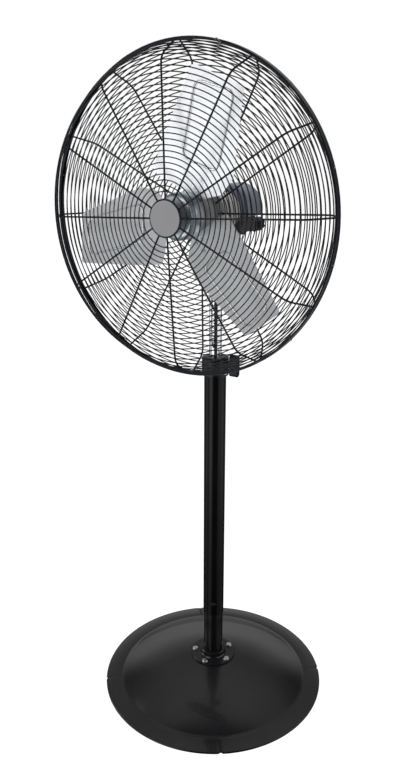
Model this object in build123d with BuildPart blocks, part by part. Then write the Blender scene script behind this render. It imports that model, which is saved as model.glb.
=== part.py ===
"""Oscillating pedestal fan with a wire cage, a telescoping pole and a domed round base."""
import os
from math import cos, sin, radians, hypot
from build123d import *

os.makedirs("parts", exist_ok=True)

# All lengths in mm, angles in degrees. Z is up, the fan blows toward -Y, the pole stands on Z.
run_gap = 0.05
free_gap = 0.3

# base and its flange
base_radius = 338.7
rim_height = 5.5
dome_radius = 289
dome_top = 76
dome_flat_radius = 70
base_wall = 6
notch_radius = 5
notch_angles = (-142.1, -54.8, 34.2, 129.5)
flange_radius = 68.5
flange_thick = 5
bolt_circle = 57
bolt_count = 5
bolt_start = -13
bolt_radius = 5
bolt_head_radius = 9
bolt_head_height = 5
nut_across = 15
nut_height = 8

# pole
socket_radius = 29.5
socket_wall = 2.5
socket_top = 420
weld_radius = 38.5
weld_height = 16
pole_radius = 31.3
pole_wall = 1.5
pole_bottom = 230
pole_top = 1020
pole_front = (0.517, -0.856, 0)
window_height = 290
window_radius = 8
pole_bolt_height = 272
pole_bolt_radius = 4
pole_bolt_head = 6.8
collar_radius = 37.8
collar_bottom = pole_top - 17
collar_top = pole_top + 35
knob_height = pole_top + 17
knob_screw_radius = 4
boss_radius = 10
knob_inner = 50
knob_outer = 74
knob_length = 63
knob_width = 19

# telescoping tube and tilt joint
tube_radius = 17.5
tube_wall = 2
tube_bottom = 740
tube_top = 1330
foot_height = 30
pivot_height = tube_top + 22
ear_inner = 14
ear_outer = 20
ear_radius = 12
cup_radius = 23
cup_bottom = tube_top - 38
tilt_bolt_radius = 4
tilt_knob_radius = 15
neck_disc_bottom = pivot_height + 16
neck_disc_top = neck_disc_bottom + 6
neck_disc_radius = 26
post_radius = 9
post_top = neck_disc_top + 22
washer_thick = 1

# fan head
fan_height = post_top + 56
cage_mid = 151
shell_radius = 47
shell_wall = 2.5
shell_front = 104
bell_front = 112
shell_rear = -45
hood_radius = 69
hood_wall = 2
hood_rear = -140
pan_top = fan_height - 15
pan_bottom = fan_height - 60
pan_half = 46
pan_wall = 5
saddle_half = 24
saddle_bottom = fan_height - 73
shaft_radius = 6
crank_x = -26
crank_y = 96
crank_throw = 17
anchor_x = -36
chain_x = 30
chain_y = 88
clutch_x = 28
clutch_height = fan_height - 46
gland_x = -20
gland_height = fan_height - 38
crank_low = fan_height - 68
crank_thick = 5
pull_top = fan_height - 88
pull_low = fan_height - 98

# wire cage
band_outer = 406
band_thick = 2
band_width = 16
spoke_radius = 2.3
ring_radius = 1.4
spoke_count = 12
spoke_phase = -2.55
ring_pitch = 13.2
front_ring_first = 56
rear_ring_first = 76
shoulder_rings = 6
lip_wire_radius = 2
lip_ring_radius = band_outer - band_thick - lip_wire_radius - free_gap
cage_edge = lip_ring_radius - 0.2
wire_sides = 6
guard_screw_angle = 45 - spoke_phase
guard_screw_circle = 57
wire_gap = 0.05
front_shoulder = 40.5
rear_shoulder = 37.5
front_spoke_line = ((40, 80.2), (cage_edge - front_shoulder, 70.4), (cage_edge, 8.4))
rear_spoke_line = ((52, -75), (cage_edge - rear_shoulder, -60), (cage_edge, -8.4))

# blades
blade_count = 3
blade_phase = -2.53
blade_depth = 146.3
blade_slope = 0.22
blade_thick = 1.8
bead_height = 1.4
bead_width = 6
hub_radius = 20
spinner_radius = 58

fan_axis = Axis((0, 0, fan_height), (0, 1, 0))
pole_axis = Axis.Z


def section(plane, points):
    """A closed flat outline on a plane, to be turned or pulled."""
    with BuildSketch(plane) as outline:
        with BuildLine():
            Polyline(*points, close=True)
        make_face()
    return outline.sketch


def fan_section(points):
    """An outline given as (radius from the fan axis, distance forward of the pole)."""
    return section(Plane.YZ, [(-s, fan_height + r) for r, s in points])


def tube_section(inner, outer, low, high):
    """Half section of an upright tube on the pole axis."""
    return section(Plane.XZ, [(inner, low), (outer, low), (outer, high), (inner, high)])


def fan_ring(inner, outer, front, rear):
    """Half section of a ring on the fan axis."""
    return fan_section([(inner, front), (outer, front), (outer, rear), (inner, rear)])


def fan_point(radius, angle, forward):
    """A place on the fan: angle from picture left, clockwise seen from the front."""
    a = radians(angle)
    return Vector(-radius * cos(a), -forward, fan_height + radius * sin(a))


def fan_plane(radius, angle, forward):
    """A plane on the fan with its normal pointing out from the axis."""
    a = radians(angle)
    return Plane(fan_point(radius, angle, forward), x_dir=(0, 1, 0), z_dir=(-cos(a), 0, sin(a)))


def screw_spot(k):
    """Where screw k of the rear cage ring sits, seen from the front."""
    a = radians(90 * k + guard_screw_angle)
    return guard_screw_circle * cos(a), fan_height + guard_screw_circle * sin(a)


# Base plate: one pressed dome with a flat rim and four notches in its edge.
with BuildPart() as base_plate:
    with BuildSketch(Plane.XZ):
        with BuildLine():
            Line((dome_radius - base_wall, 0), (base_radius, 0))
            Line((base_radius, 0), (base_radius, rim_height - 1))
            Line((base_radius, rim_height - 1), (base_radius - 1, rim_height))
            Line((base_radius - 1, rim_height), (dome_radius, rim_height))
            ThreePointArc((dome_radius, rim_height), (185, 50.6), (dome_flat_radius, dome_top))
            Line((dome_flat_radius, dome_top), (22, dome_top))
            Line((22, dome_top), (22, dome_top - base_wall))
            Line((22, dome_top - base_wall), (dome_flat_radius - 1, dome_top - base_wall))
            ThreePointArc(
                (dome_flat_radius - 1, dome_top - base_wall), (182, 45), (dome_radius - base_wall, 0)
            )
        make_face()
    revolve(axis=pole_axis)
    with BuildSketch(Plane.XY.offset(dome_top)):
        with PolarLocations(bolt_circle, bolt_count, start_angle=bolt_start):
            Circle(bolt_radius + free_gap)
    extrude(amount=-base_wall - 1, mode=Mode.SUBTRACT)
    with BuildSketch(Plane.XY):
        for angle in notch_angles:
            with Locations((base_radius * cos(radians(angle)), base_radius * sin(radians(angle)))):
                Circle(notch_radius)
    extrude(amount=rim_height, mode=Mode.SUBTRACT)

# Flange plate that carries the pole socket.
flange_top = dome_top + flange_thick
with BuildPart() as base_flange:
    with BuildSketch(Plane.XY.offset(dome_top)):
        Circle(flange_radius)
        Circle(socket_radius - socket_wall, mode=Mode.SUBTRACT)
        with PolarLocations(bolt_circle, bolt_count, start_angle=bolt_start):
            Circle(bolt_radius + free_gap, mode=Mode.SUBTRACT)
    extrude(amount=flange_thick)
    chamfer(base_flange.edges().filter_by(GeomType.CIRCLE).group_by(SortBy.RADIUS)[-1].group_by(Axis.Z)[-1], 0.8)

with BuildPart() as weld_collar:
    revolve(
        section(Plane.XZ, [
            (socket_radius + run_gap, flange_top),
            (weld_radius + 2, flange_top),
            (weld_radius, flange_top + 3),
            (weld_radius, flange_top + weld_height - 2),
            (weld_radius - 2, flange_top + weld_height),
            (socket_radius + run_gap, flange_top + weld_height),
        ]),
        axis=pole_axis,
    )

# The pole's bolt and its nut lie on the plane that faces the front of the pole.
bolt_plane = Plane((0, 0, pole_bolt_height), x_dir=(0, 0, 1), z_dir=pole_front)
with BuildPart() as socket_tube:
    revolve(
        tube_section(socket_radius - socket_wall, socket_radius, flange_top, socket_top),
        axis=pole_axis,
    )
    with BuildSketch(bolt_plane):
        Circle(pole_bolt_radius + 0.15)
    extrude(amount=pole_radius, mode=Mode.SUBTRACT)

with BuildPart() as outer_pole:
    revolve(tube_section(pole_radius - pole_wall, pole_radius, pole_bottom, pole_top), axis=pole_axis)
    with BuildSketch(bolt_plane):
        Circle(pole_bolt_radius + free_gap)
    extrude(amount=pole_radius + 2, mode=Mode.SUBTRACT)
    with BuildSketch(Plane((0, 0, window_height), x_dir=(0, 0, 1), z_dir=pole_front)):
        Circle(window_radius)
    extrude(amount=pole_radius + 2, mode=Mode.SUBTRACT)

with BuildPart() as pole_bolt:
    with BuildSketch(bolt_plane.offset(20)):
        Circle(pole_bolt_radius)
    extrude(amount=pole_radius - 20)
    with BuildSketch(bolt_plane.offset(pole_radius)):
        Circle(pole_bolt_head)
    extrude(amount=4)
    fillet(pole_bolt.edges().sort_by(Axis(bolt_plane.origin, bolt_plane.z_dir))[-1], 2.4)
    with BuildSketch(bolt_plane.offset(pole_radius + 4)):
        RegularPolygon(2.6, 6)
    extrude(amount=-2, mode=Mode.SUBTRACT)

with BuildPart() as pole_nut:
    with BuildSketch(bolt_plane.offset(socket_radius - socket_wall - 6)):
        RegularPolygon(7, 6)
        Circle(pole_bolt_radius + 0.1, mode=Mode.SUBTRACT)
    extrude(amount=5.05)

# Five flange bolts with low domed heads, and their nuts under the dome.
with BuildPart() as flange_bolts:
    for k in range(bolt_count):
        a = radians(bolt_start + 360 / bolt_count * k)
        spot = (bolt_circle * cos(a), bolt_circle * sin(a))
        with BuildSketch(Plane.XY.offset(flange_top)):
            with Locations(spot):
                Circle(bolt_head_radius)
        extrude(amount=bolt_head_height)
        with BuildSketch(Plane.XY.offset(flange_top)):
            with Locations(spot):
                Circle(bolt_radius)
        extrude(amount=-(flange_thick + base_wall + nut_height + 4))
    fillet(flange_bolts.edges().filter_by(GeomType.CIRCLE).group_by(Axis.Z)[-1], 3.5)

with BuildPart() as flange_nuts:
    for k in range(bolt_count):
        a = radians(bolt_start + 360 / bolt_count * k)
        spot = (bolt_circle * cos(a), bolt_circle * sin(a))
        with BuildSketch(Plane.XY.offset(dome_top - base_wall)):
            with Locations(spot):
                RegularPolygon(nut_across / 2, 6, major_radius=False)
                Circle(bolt_radius + 0.1, mode=Mode.SUBTRACT)
        extrude(amount=-nut_height)

# Collar at the top of the pole, with a side boss for the height knob's screw.
knob_plane = Plane((0, 0, knob_height), x_dir=(0, 1, 0), z_dir=(1, 0, 0))
with BuildPart() as pole_collar:
    revolve(
        section(Plane.XZ, [
            (pole_radius + run_gap, collar_bottom),
            (collar_radius - 1, collar_bottom),
            (collar_radius, collar_bottom + 1),
            (collar_radius, collar_top - 2),
            (collar_radius - 2, collar_top),
            (tube_radius + free_gap, collar_top),
            (tube_radius + free_gap, pole_top),
            (pole_radius + run_gap, pole_top),
        ]),
        axis=pole_axis,
    )
    with BuildSketch(knob_plane.offset(collar_radius - 6)):
        Circle(boss_radius)
    extrude(amount=knob_inner - collar_radius + 4)
    with BuildSketch(knob_plane):
        Circle(knob_screw_radius + free_gap)
    extrude(amount=knob_outer, mode=Mode.SUBTRACT)

with BuildPart() as height_screw:
    with BuildSketch(knob_plane.offset(tube_radius + free_gap)):
        Circle(knob_screw_radius)
    extrude(amount=knob_outer - 6 - tube_radius - free_gap)

with BuildPart() as height_knob:
    with BuildSketch(knob_plane.offset(knob_inner)):
        SlotOverall(knob_length, knob_width, rotation=90)
    extrude(amount=knob_outer - knob_inner)
    fillet(height_knob.edges().group_by(Axis.X)[-1], 3)
    with BuildSketch(knob_plane.offset(knob_inner - 1.5)):
        Circle(boss_radius - 1)
    extrude(amount=1.5)
    with BuildSketch(knob_plane.offset(knob_inner - 2)):
        Circle(knob_screw_radius)
    extrude(amount=knob_outer - 4 - knob_inner, mode=Mode.SUBTRACT)

# Telescoping tube, with a nylon foot that guides it in the pole.
with BuildPart() as inner_tube:
    revolve(tube_section(tube_radius - tube_wall, tube_radius, tube_bottom, tube_top), axis=pole_axis)

with BuildPart() as slide_foot:
    revolve(
        tube_section(tube_radius, pole_radius - pole_wall - free_gap, tube_bottom, tube_bottom + foot_height),
        axis=pole_axis,
    )

pivot_plane = Plane((0, 0, pivot_height), x_dir=(0, 1, 0), z_dir=(1, 0, 0))
with BuildPart() as tilt_bracket:
    revolve(
        section(Plane.XZ, [
            (tube_radius, cup_bottom),
            (cup_radius - 1, cup_bottom),
            (cup_radius, cup_bottom + 1),
            (cup_radius, tube_top + 5),
            (0, tube_top + 5),
            (0, tube_top),
            (tube_radius, tube_top),
        ]),
        axis=pole_axis,
    )
    for side in (ear_inner, -ear_outer):
        with BuildSketch(pivot_plane.offset(side)):
            Circle(ear_radius)
            with Locations((0, (tube_top - pivot_height) / 2)):
                Rectangle(2 * ear_radius, pivot_height - tube_top)
            Circle(tilt_bolt_radius + 0.1, mode=Mode.SUBTRACT)
        extrude(amount=ear_outer - ear_inner)

with BuildPart() as tilt_bolt:
    with BuildSketch(pivot_plane.offset(-ear_outer)):
        Circle(tilt_bolt_radius)
    extrude(amount=2 * ear_outer + 16)
    with BuildSketch(pivot_plane.offset(-ear_outer)):
        RegularPolygon(7.5, 6)
    extrude(amount=-5)

with BuildPart() as tilt_knob:
    with BuildSketch(pivot_plane.offset(ear_outer + free_gap)):
        Circle(tilt_knob_radius)
        with PolarLocations(tilt_knob_radius + 2, 5):
            Circle(5, mode=Mode.SUBTRACT)
    extrude(amount=24)
    fillet(tilt_knob.faces().sort_by(Axis.X)[-1].edges(), 2)
    with BuildSketch(pivot_plane.offset(ear_outer)):
        Circle(tilt_bolt_radius + run_gap)
    extrude(amount=18, mode=Mode.SUBTRACT)

# Neck: it tilts on the bolt, and the head turns on its upright post.
with BuildPart() as neck:
    with BuildSketch(pivot_plane.offset(-ear_inner + free_gap)):
        Circle(ear_radius - 0.5)
        with Locations((0, (neck_disc_bottom - pivot_height) / 2)):
            Rectangle(2 * ear_radius - 1, neck_disc_bottom - pivot_height)
    extrude(amount=2 * (ear_inner - free_gap))
    with BuildSketch(Plane.XY.offset(neck_disc_bottom)):
        Circle(neck_disc_radius)
        with Locations((anchor_x / 2, 0)):
            Rectangle(-anchor_x, 14)
        with Locations((anchor_x, 0)):
            Circle(7)
    extrude(amount=neck_disc_top - neck_disc_bottom)
    with BuildSketch(Plane.XY.offset(neck_disc_top)):
        Circle(post_radius)
    extrude(amount=post_top - neck_disc_top)
    with BuildSketch(Plane.XY.offset(neck_disc_top)):
        with Locations((anchor_x, 0)):
            Circle(3)
    extrude(amount=4.5)
    with BuildSketch(pivot_plane.offset(-ear_outer)):
        Circle(tilt_bolt_radius + run_gap)
    extrude(amount=2 * ear_outer, mode=Mode.SUBTRACT)

with BuildPart() as thrust_washer:
    revolve(
        tube_section(post_radius + run_gap, 20, neck_disc_top, neck_disc_top + washer_thick),
        axis=pole_axis,
    )

link_low = neck_disc_top + free_gap
link_high = link_low + 3
with BuildPart() as link_arm:
    with BuildSketch(Plane.XY.offset(link_low)):
        with BuildLine():
            Polyline(
                (anchor_x - 5, 0),
                (anchor_x + 5, 0),
                (crank_x - crank_throw + 5, crank_y),
                (crank_x - crank_throw - 5, crank_y),
                close=True,
            )
        make_face()
        with Locations((anchor_x, 0), (crank_x - crank_throw, crank_y)):
            Circle(7)
        with Locations((anchor_x, 0)):
            Circle(3 + run_gap, mode=Mode.SUBTRACT)
        with Locations((crank_x - crank_throw, crank_y)):
            Circle(3.8, mode=Mode.SUBTRACT)
    extrude(amount=link_high - link_low)

# Head casting: a saddle under the motor and the gearbox pan behind it, one piece.
foot_bottom = neck_disc_top + washer_thick + 0.1
with BuildPart() as gearbox_foot:
    with BuildSketch(Plane.XY.offset(pan_bottom)):
        with Locations((0, (47 - hood_rear) / 2)):
            RectangleRounded(2 * pan_half, -hood_rear - 47, 12)
    extrude(amount=pan_top - pan_bottom)
    fillet(gearbox_foot.edges().group_by(Axis.Z)[0], 6)
    with BuildSketch(Plane.XY.offset(saddle_bottom)):
        with Locations((0, 12.5)):
            Rectangle(2 * saddle_half, 81)
    extrude(amount=34)
    with BuildSketch(Plane.XY.offset(foot_bottom)):
        Circle(20)
    extrude(amount=10)
    with BuildSketch(Plane.XY.offset(pan_bottom + pan_wall)):
        with Locations((0, (53 - hood_rear - 6) / 2)):
            RectangleRounded(2 * (pan_half - pan_wall), -hood_rear - 59, 8)
    extrude(amount=60, mode=Mode.SUBTRACT)
    revolve(fan_ring(0, shell_radius + run_gap, 60, shell_rear), axis=fan_axis, mode=Mode.SUBTRACT)
    with BuildSketch(Plane.XY.offset(foot_bottom - 1)):
        Circle(post_radius + run_gap)
    extrude(amount=post_top + 1 - foot_bottom + 1, mode=Mode.SUBTRACT)
    with BuildSketch(Plane.XY.offset(pan_bottom - 1)):
        with Locations((crank_x, crank_y)):
            Circle(4 + run_gap)
        with Locations((chain_x, chain_y)):
            Circle(5 + run_gap)
    extrude(amount=pan_wall + 2, mode=Mode.SUBTRACT)
    with BuildSketch(Plane.XZ.offset(hood_rear)):
        with Locations((clutch_x, clutch_height)):
            Circle(4 + run_gap)
        with Locations((gland_x, gland_height)):
            Circle(8 + run_gap)
    extrude(amount=14, mode=Mode.SUBTRACT)

# Motor: front shell with its bell and cage flange, stator, rotor and bearings.
with BuildPart() as motor_shell:
    with BuildSketch(Plane.YZ):
        with BuildLine():
            FilletPolyline(
                (-bell_front, fan_height + 16),
                (-bell_front, fan_height + shell_radius),
                (-73.2 + 2, fan_height + shell_radius),
                radius=7,
            )
            Polyline(
                (-71.2, fan_height + shell_radius),
                (-71.2, fan_height + 64),
                (-68.2, fan_height + 64),
                (-68.2, fan_height + shell_radius),
                (-shell_rear, fan_height + shell_radius),
                (-shell_rear, fan_height + shell_radius - shell_wall),
                (-shell_front, fan_height + shell_radius - shell_wall),
                (-shell_front, fan_height + 20),
                (-96, fan_height + 20),
                (-96, fan_height + 16),
                (-bell_front, fan_height + 16),
            )
        make_face()
    revolve(axis=fan_axis)
    for angle in (70, 82, 98, 110):
        with BuildSketch(Plane.XY.offset(fan_height)):
            with Locations((shell_radius * cos(radians(angle)), -50)):
                Rectangle(3.2, 30)
        extrude(amount=shell_radius + 5, mode=Mode.SUBTRACT)
    for k in range(4):
        with BuildSketch(Plane.XZ.offset(60)):
            with Locations(screw_spot(k)):
                Circle(2.2)
        extrude(amount=20, mode=Mode.SUBTRACT)

with BuildPart() as stator:
    revolve(fan_ring(27, shell_radius - shell_wall - run_gap, 72, -20), axis=fan_axis)

with BuildPart() as windings:
    revolve(fan_ring(28, 40, 84, 72), axis=fan_axis)
    revolve(fan_ring(28, 40, -20, -30), axis=fan_axis)

with BuildPart() as front_bearing:
    revolve(fan_ring(shaft_radius + run_gap, 16, 108, 97), axis=fan_axis)

with BuildPart() as rear_bell:
    revolve(fan_ring(16, shell_radius - shell_wall, -36, shell_rear), axis=fan_axis)

with BuildPart() as rear_bearing:
    revolve(fan_ring(shaft_radius + run_gap, 16, -36, shell_rear), axis=fan_axis)

# Hood over the gears, open below onto the pan.
with BuildPart() as motor_hood:
    with BuildSketch(Plane.YZ):
        with BuildLine():
            FilletPolyline(
                (-shell_rear, fan_height + 20),
                (-shell_rear, fan_height + hood_radius),
                (-hood_rear, fan_height + hood_radius),
                (-hood_rear, fan_height),
                radius=13,
            )
            Polyline(
                (-hood_rear, fan_height),
                (-hood_rear - hood_wall, fan_height),
                (-hood_rear - hood_wall, fan_height + hood_radius - 10),
                (-hood_rear - 10, fan_height + hood_radius - hood_wall),
                (-shell_rear + 10, fan_height + hood_radius - hood_wall),
                (-shell_rear + hood_wall, fan_height + hood_radius - 10),
                (-shell_rear + hood_wall, fan_height + 20),
                (-shell_rear, fan_height + 20),
            )
        make_face()
    revolve(axis=fan_axis)
    revolve(fan_ring(hood_radius - 0.6, hood_radius + 2, -112, -113.5), axis=fan_axis, mode=Mode.SUBTRACT)
    with BuildSketch(Plane.XY.offset(pan_top + run_gap)):
        with Locations((0, 92.5)):
            Rectangle(200, 140)
    extrude(amount=-100, mode=Mode.SUBTRACT)

with BuildPart() as capacitor:
    with BuildSketch(Plane.XZ.offset(shell_rear - hood_wall)):
        with Locations((34, fan_height + 26)):
            Circle(14)
    extrude(amount=-48)
    fillet(capacitor.edges().group_by(Axis.Y)[-1], 2)

with BuildPart() as pull_switch:
    with BuildSketch(Plane.XY.offset(pan_bottom - 7)):
        with Locations((chain_x, chain_y)):
            Circle(5)
            Circle(2.2, mode=Mode.SUBTRACT)
    extrude(amount=14)
    with BuildSketch(Plane.XY.offset(pan_bottom - 4)):
        with Locations((chain_x, chain_y)):
            RegularPolygon(8, 6)
            Circle(2.2, mode=Mode.SUBTRACT)
    extrude(amount=4)
    with BuildSketch(Plane.XY.offset(pan_bottom + pan_wall)):
        with Locations((chain_x - 6, chain_y)):
            RectangleRounded(18, 26, 2)
    extrude(amount=22)
    with BuildSketch(Plane.XY.offset(pan_bottom - 8)):
        with Locations((chain_x, chain_y)):
            Circle(2.2)
    extrude(amount=22, mode=Mode.SUBTRACT)

with BuildPart() as pull_chain:
    with BuildSketch(Plane.XY.offset(pull_top)):
        with Locations((chain_x, chain_y)):
            Circle(0.7)
    extrude(amount=38)
    for k in range(7):
        with BuildSketch(Plane.XZ.offset(-chain_y)):
            with BuildLine():
                CenterArc((chain_x, pull_top + 8.5 + 4.4 * k), 1.7, -90, 180)
                Line((chain_x, pull_top + 6.8 + 4.4 * k), (chain_x, pull_top + 10.2 + 4.4 * k))
            make_face()
        revolve(axis=Axis((chain_x, chain_y, 0), (0, 0, 1)))
    with BuildSketch(Plane.XZ.offset(-chain_y)):
        with BuildLine():
            Polyline(
                (chain_x, pull_low), (chain_x + 4.5, pull_low), (chain_x + 4.5, pull_low + 4), (chain_x + 2, pull_top + 6)
            )
            Polyline((chain_x + 2, pull_top + 6), (chain_x, pull_top + 6), (chain_x, pull_low))
        make_face()
    revolve(axis=Axis((chain_x, chain_y, 0), (0, 0, 1)))

with BuildPart() as clutch_shaft:
    with BuildSketch(Plane.XZ.offset(hood_rear + 12)):
        with Locations((clutch_x, clutch_height)):
            Circle(4)
    extrude(amount=-32)

with BuildPart() as clutch_knob:
    with BuildSketch(Plane.XZ.offset(hood_rear - free_gap)):
        with Locations((clutch_x, clutch_height)):
            Circle(12)
    extrude(amount=-8)
    with BuildSketch(Plane.XZ.offset(hood_rear - 8)):
        with Locations((clutch_x, clutch_height)):
            Circle(20)
            with PolarLocations(21.5, 8):
                Circle(4, mode=Mode.SUBTRACT)
    extrude(amount=-40)
    fillet(clutch_knob.faces().sort_by(Axis.Y)[-1].edges(), 2)
    with BuildSketch(Plane.XZ.offset(hood_rear)):
        with Locations((clutch_x, clutch_height)):
            Circle(4)
    extrude(amount=-20, mode=Mode.SUBTRACT)

with BuildPart() as cable_gland:
    with BuildSketch(Plane.XZ.offset(hood_rear + 10)):
        with Locations((gland_x, gland_height)):
            Circle(8)
            Circle(4, mode=Mode.SUBTRACT)
    extrude(amount=-26)
    with BuildSketch(Plane.XZ.offset(hood_rear)):
        with Locations((gland_x, gland_height)):
            RegularPolygon(12, 6)
            Circle(4, mode=Mode.SUBTRACT)
    extrude(amount=-7)

# Gears: a worm on the motor shaft turns the wheel and, below the pan, the crank.
with BuildPart() as worm_wheel:
    with BuildSketch(Plane.XY.offset(fan_height - 5)):
        with Locations((crank_x, crank_y)):
            Circle(18)
            Circle(4, mode=Mode.SUBTRACT)
    extrude(amount=10)

with BuildPart() as crank:
    with BuildSketch(Plane.XY.offset(crank_low)):
        with Locations((crank_x, crank_y)):
            Circle(21)
    extrude(amount=crank_thick)
    with BuildSketch(Plane.XY.offset(crank_low + crank_thick)):
        with Locations((crank_x, crank_y)):
            Circle(4)
    extrude(amount=fan_height + 8 - crank_low - crank_thick)
    with BuildSketch(Plane.XY.offset(link_high + 0.6)):
        with Locations((crank_x - crank_throw, crank_y)):
            Circle(3.5)
    extrude(amount=crank_low - link_high - 0.6)

with BuildPart() as shaft:
    revolve(fan_ring(0, shaft_radius, 178, -84), axis=fan_axis)

with BuildPart() as rotor_core:
    revolve(fan_ring(shaft_radius, 26.4, 68, -16), axis=fan_axis)

with BuildPart() as worm:
    revolve(fan_ring(0, 7.4, -84, -108), axis=fan_axis)

with BuildPart() as shaft_collar:
    revolve(fan_ring(shaft_radius, 13, 117, 112.5), axis=fan_axis)

# Hub with three arms that lie just behind the blades.
blade_planes = []
for k in range(blade_count):
    a = radians(blade_phase + 120 * k)
    out = Vector(-cos(a), 0, sin(a))
    along = Vector(sin(a), blade_slope, cos(a)).normalized()
    blade_planes.append(
        Plane((0, -blade_depth, fan_height), x_dir=out, z_dir=out.cross(along))
    )
lean = hypot(1, blade_slope)
facing = 1 if blade_planes[0].z_dir.Y < 0 else -1
rivet_spots = ((72, -12), (72, 12), (98, 0))

with BuildPart() as hub:
    revolve(fan_ring(shaft_radius, hub_radius, 160, 122), axis=fan_axis)
    for plane in blade_planes:
        with BuildSketch(plane.offset(-facing * blade_thick / 2)):
            with Locations((62, 0)):
                RectangleRounded(96, 44, 6)
            with Locations(*rivet_spots):
                Circle(3, mode=Mode.SUBTRACT)
        extrude(amount=-facing * 3)
    revolve(fan_ring(0, shaft_radius, 200, 100), axis=fan_axis, mode=Mode.SUBTRACT)

with BuildPart() as spinner:
    with BuildSketch(Plane.YZ):
        with BuildLine():
            FilletPolyline(
                (-196, fan_height + shaft_radius + run_gap),
                (-196, fan_height + spinner_radius),
                (-152.5, fan_height + spinner_radius),
                radius=14,
            )
            Polyline(
                (-152.5, fan_height + spinner_radius),
                (-152.5, fan_height + spinner_radius - 1.6),
                (-182, fan_height + spinner_radius - 1.6),
                (-190, fan_height + spinner_radius - 8),
                (-190, fan_height + hub_radius - 2),
                (-160, fan_height + hub_radius - 2),
                (-160, fan_height + shaft_radius + run_gap),
                (-196, fan_height + shaft_radius + run_gap),
            )
        make_face()
    revolve(axis=fan_axis)

blade_outline = (
    (333, 5), (141, 69), (90, 59), (56, 20), (54, -89), (60, -120), (145, -125), (325, -126),
)
bead_outline = ((319, -10), (130, 30), (120, -66), (300, -108))
blades = []
for index, plane in enumerate(blade_planes):
    with BuildPart() as blade:
        with BuildSketch(plane.offset(-blade_thick / 2)):
            with BuildLine():
                Polyline(*[(r, t * lean) for r, t in blade_outline], close=True)
            make_face()
            fillet(vertices(), 9)
            with Locations(*rivet_spots):
                Circle(3, mode=Mode.SUBTRACT)
        extrude(amount=blade_thick)
        with BuildSketch(plane.offset(facing * blade_thick / 2)) as bead:
            with BuildLine():
                Polyline(*[(r, t * lean) for r, t in bead_outline], close=True)
            make_face()
            fillet(bead.vertices(), 22)
            offset(amount=-bead_width, mode=Mode.SUBTRACT)
        extrude(amount=facing * bead_height)
    blades.append(blade.part)

with BuildPart() as rivets:
    for plane in blade_planes:
        with BuildSketch(plane.offset(-facing * (blade_thick / 2 + 3))):
            with Locations(*rivet_spots):
                Circle(3)
        extrude(amount=facing * (blade_thick + 3))
        with BuildSketch(plane.offset(facing * blade_thick / 2)):
            with Locations(*rivet_spots):
                Circle(5.5)
        extrude(amount=facing * 2)

# Cage: twelve spokes and round wires on each half, a band over the joint.
def wire_place(line, share):
    """A point at a share of the length of a two-run line, pushed off the spoke."""
    (r0, s0), (r1, s1), (r2, s2) = line
    runs = (hypot(r1 - r0, s1 - s0), hypot(r2 - r1, s2 - s1))
    far = share * sum(runs)
    if far < runs[0]:
        f = far / runs[0]
        start, end, run = (r0, s0), (r1, s1), runs[0]
    else:
        f = (far - runs[0]) / runs[1]
        start, end, run = (r1, s1), (r2, s2), runs[1]
    side = 1 if s0 > 0 else -1
    push = (spoke_radius + ring_radius + wire_gap) * side
    normal = (-(end[1] - start[1]) / run * push, (end[0] - start[0]) / run * push)
    return (
        start[0] + (end[0] - start[0]) * f + normal[0],
        start[1] + (end[1] - start[1]) * f + normal[1] + cage_mid,
    )


def wire_places(line, first):
    """Even wires on the cone from a first radius, closer ones on the shoulder."""
    (r0, s0), (r1, s1), (r2, s2) = line
    cone = hypot(r1 - r0, s1 - s0)
    slope = hypot(r2 - r1, s2 - s1)
    whole = cone + slope
    count = int((cone - (first - r0) - 8) / ring_pitch) + 1
    places = [wire_place(line, (first - r0 + ring_pitch * k) / whole) for k in range(count)]
    step = (slope - 12) / shoulder_rings
    places += [wire_place(line, (cone + 5 + step * (k + 0.3)) / whole) for k in range(shoulder_rings)]
    return places


def cage_half(line, first, lip):
    """Spokes and wires of one half of the cage."""
    path_points = [(-(s + cage_mid), fan_height + r) for r, s in line]
    with BuildPart() as spoke:
        with BuildLine(Plane.YZ) as path:
            FilletPolyline(*path_points, radius=18)
        with BuildSketch(Plane(path.line @ 0, z_dir=path.line % 0)):
            Circle(spoke_radius)
        sweep(path=path.line)
    with BuildPart() as rings:
        with BuildSketch(Plane.YZ):
            for r, s in wire_places(line, first):
                with Locations((-s, fan_height + r)):
                    RegularPolygon(ring_radius, wire_sides)
            with Locations((-(cage_mid + lip), fan_height + lip_ring_radius)):
                RegularPolygon(lip_wire_radius, wire_sides)
        revolve(axis=fan_axis)
    spokes = [
        spoke.part.rotate(fan_axis, spoke_phase - 90 + 360 / spoke_count * k)
        for k in range(spoke_count)
    ]
    return spokes, rings.part


front_spokes, front_rings = cage_half(front_spoke_line, front_ring_first, 5.6)
rear_spokes, rear_rings = cage_half(rear_spoke_line, rear_ring_first, -5.6)

plate_back = cage_mid + front_spoke_line[0][1] + spoke_radius + run_gap
guard_ring_front = cage_mid + rear_spoke_line[0][1] - spoke_radius - run_gap
with BuildPart() as front_guard:
    add(front_rings)
    for item in front_spokes:
        add(item)

with BuildPart() as rear_guard:
    add(rear_rings)
    for item in rear_spokes:
        add(item)

with BuildPart() as guard_ring:
    revolve(fan_ring(50, 68, guard_ring_front, 71.25), axis=fan_axis)
    for k in range(4):
        with BuildSketch(Plane.XZ.offset(60)):
            with Locations(screw_spot(k)):
                Circle(2.2)
        extrude(amount=20, mode=Mode.SUBTRACT)

with BuildPart() as guard_screws:
    for k in range(4):
        with BuildSketch(Plane.XZ.offset(guard_ring_front)):
            with Locations(screw_spot(k)):
                Circle(4)
        extrude(amount=2.5)
        with BuildSketch(Plane.XZ.offset(guard_ring_front)):
            with Locations(screw_spot(k)):
                Circle(2)
        extrude(amount=-9)

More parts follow.
